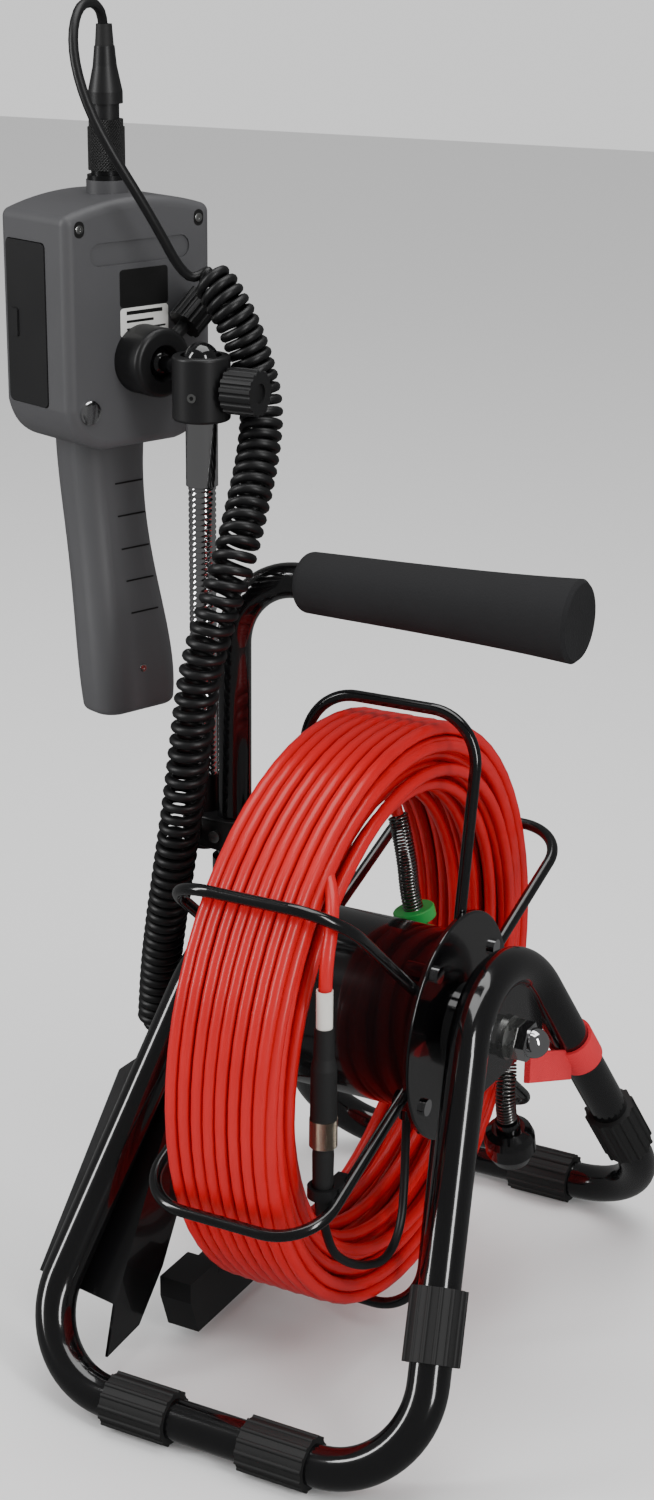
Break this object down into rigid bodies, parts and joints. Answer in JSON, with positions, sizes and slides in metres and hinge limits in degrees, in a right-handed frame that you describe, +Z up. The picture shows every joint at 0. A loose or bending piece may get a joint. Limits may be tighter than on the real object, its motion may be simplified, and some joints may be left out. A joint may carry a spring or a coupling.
{
  "type": "inspection camera",
  "caption": "Drain inspection camera: bent-tube stand with a free-turning push-cable reel, foam-grip post, flexible arm and handheld monitor on a curly lead.",
  "frame": {"origin": "centre of the bounding box of everything but the free cords and the wound cable, at floor level", "axes": "+X along the reel's axle from the handset side to the cap-nut side, +Y to the rear of the stand, +Z up"},
  "size_m": [0.3432, 0.3694, 0.7105],
  "materials": {
    "stand_paint": "gloss black lacquer",
    "wire_paint": "gloss black powder coat",
    "tray_paint": "satin black powder coat",
    "hub_paint": "gloss black",
    "steel_zinc": "bright zinc plating",
    "chrome": "polished chrome",
    "nickel": "knurled nickel plate",
    "spring_steel": "stainless wire",
    "bronze": "sintered bronze",
    "rubber": "matt ribbed rubber",
    "lead_rubber": "satin black rubber jacket",
    "foam": "closed-cell foam",
    "cable_red": "bright red satin cable jacket",
    "strap_red": "hook-and-loop webbing",
    "sleeve_clear": "clear shrink sleeve over a paper label",
    "shell_grey": "fine-grained grey ABS",
    "black_plastic": "matt black",
    "gloss_black": "gloss black",
    "board_green": "solder-resist green",
    "cell_blue": "shrink-wrapped cells",
    "glass": "clear lens",
    "screen": "dark display window",
    "button_grey": "silicone"
  },
  "bodies": {
    "stand": {"stand_tube_right": "stand_paint", "stand_tube_left": "stand_paint", "rubber_feet": "rubber", "leg_bumpers": "rubber", "axle_plates": "stand_paint", "axle": "steel_zinc", "axle_fasteners": "steel_zinc", "cap_nut": "chrome", "rotary_coupling": "black_plastic", "axle_spacers": "black_plastic", "handle_tube": "stand_paint", "foam_grip": "foam", "post_socket": "stand_paint", "small_fasteners": "steel_zinc", "arm_bracket": "black_plastic", "flexible_arm": "chrome", "arm_sleeve": "chrome", "arm_stem": "chrome", "clamp_block": "black_plastic", "ball_stud": "chrome", "lead_coil": "lead_rubber", "lead_tail": "lead_rubber", "lead_upper": "lead_rubber", "side_tray": "tray_paint", "rest_block": "black_plastic", "cable_strap": "strap_red"},
    "reel": {"hub_drum": "hub_paint", "reel_flanges": "hub_paint", "flange_screws": "chrome", "axle_bushes": "bronze", "wire_arms": "wire_paint", "cable_winding": "cable_red", "cable_ends": "cable_red", "label_sleeve": "sleeve_clear", "cable_boot": "rubber", "knurled_ring": "nickel", "lead_plug": "rubber", "jumper_lead": "lead_rubber", "cable_clips": "black_plastic", "probe_spring": "spring_steel", "camera_head": "gloss_black", "lens_window": "glass"},
    "handset": {"disc_mount": "black_plastic", "rear_shell": "shell_grey", "front_shell": "shell_grey", "grip_cap": "shell_grey", "battery_pack": "cell_blue", "electronics": "board_green", "screen_glass": "screen", "handset_socket": "nickel", "plug_body": "black_plastic", "plug_relief": "rubber"},
    "clamp_knob": {"clamp_knob": "black_plastic"},
    "disc_knob": {"disc_knob": "black_plastic"},
    "plug_nut": {"plug_nut": "black_plastic"},
    "battery_door": {"battery_door": "black_plastic"},
    "power_button": {"power_button": "button_grey"},
    "menu_button": {"menu_button": "button_grey"},
    "record_button": {"record_button": "button_grey"}
  },
  "joints": [
    {"name": "reel_spin", "type": "hinge", "parent": "stand", "child": "reel", "pos_m": [0.04948, 0, 0.188], "axis": [1, 0, 0], "continuous": true},
    {"name": "handset_tilt", "type": "hinge", "parent": "stand", "child": "handset", "pos_m": [-0.08776, 0.0149, 0.526], "axis": [0.3535, 0.9354, 0], "range_deg": [-12, 12], "deforming": ["lead_upper"]},
    {"name": "clamp_knob_turn", "type": "hinge", "parent": "stand", "child": "clamp_knob", "pos_m": [-0.03552, 0.0016, 0.518], "axis": [1, 0, 0], "range_deg": [-180, 180]},
    {"name": "disc_knob_turn", "type": "hinge", "parent": "handset", "child": "disc_knob", "pos_m": [-0.0815, 0.03711, 0.54528], "axis": [0.2708, 0.7166, 0.6428], "range_deg": [-180, 180]},
    {"name": "plug_nut_turn", "type": "hinge", "parent": "handset", "child": "plug_nut", "pos_m": [-0.12611, 0.0294, 0.628], "axis": [0, 0, 1], "range_deg": [-180, 180]},
    {"name": "battery_door_slide", "type": "slide", "parent": "handset", "child": "battery_door", "axis": [-0.3535, -0.9354, 0], "range_m": [0, 0.03]},
    {"name": "power_button_press", "type": "slide", "parent": "handset", "child": "power_button", "axis": [0.9354, -0.3535, 0], "range_m": [0, 0.0015], "stiffness_N_per_m": 150, "springref_m": -0.0002},
    {"name": "menu_button_press", "type": "slide", "parent": "handset", "child": "menu_button", "axis": [0.9354, -0.3535, 0], "range_m": [0, 0.0015], "stiffness_N_per_m": 150, "springref_m": -0.0002},
    {"name": "record_button_press", "type": "slide", "parent": "handset", "child": "record_button", "axis": [0.9354, -0.3535, 0], "range_m": [0, 0.0015], "stiffness_N_per_m": 150, "springref_m": -0.0002}
  ]
}
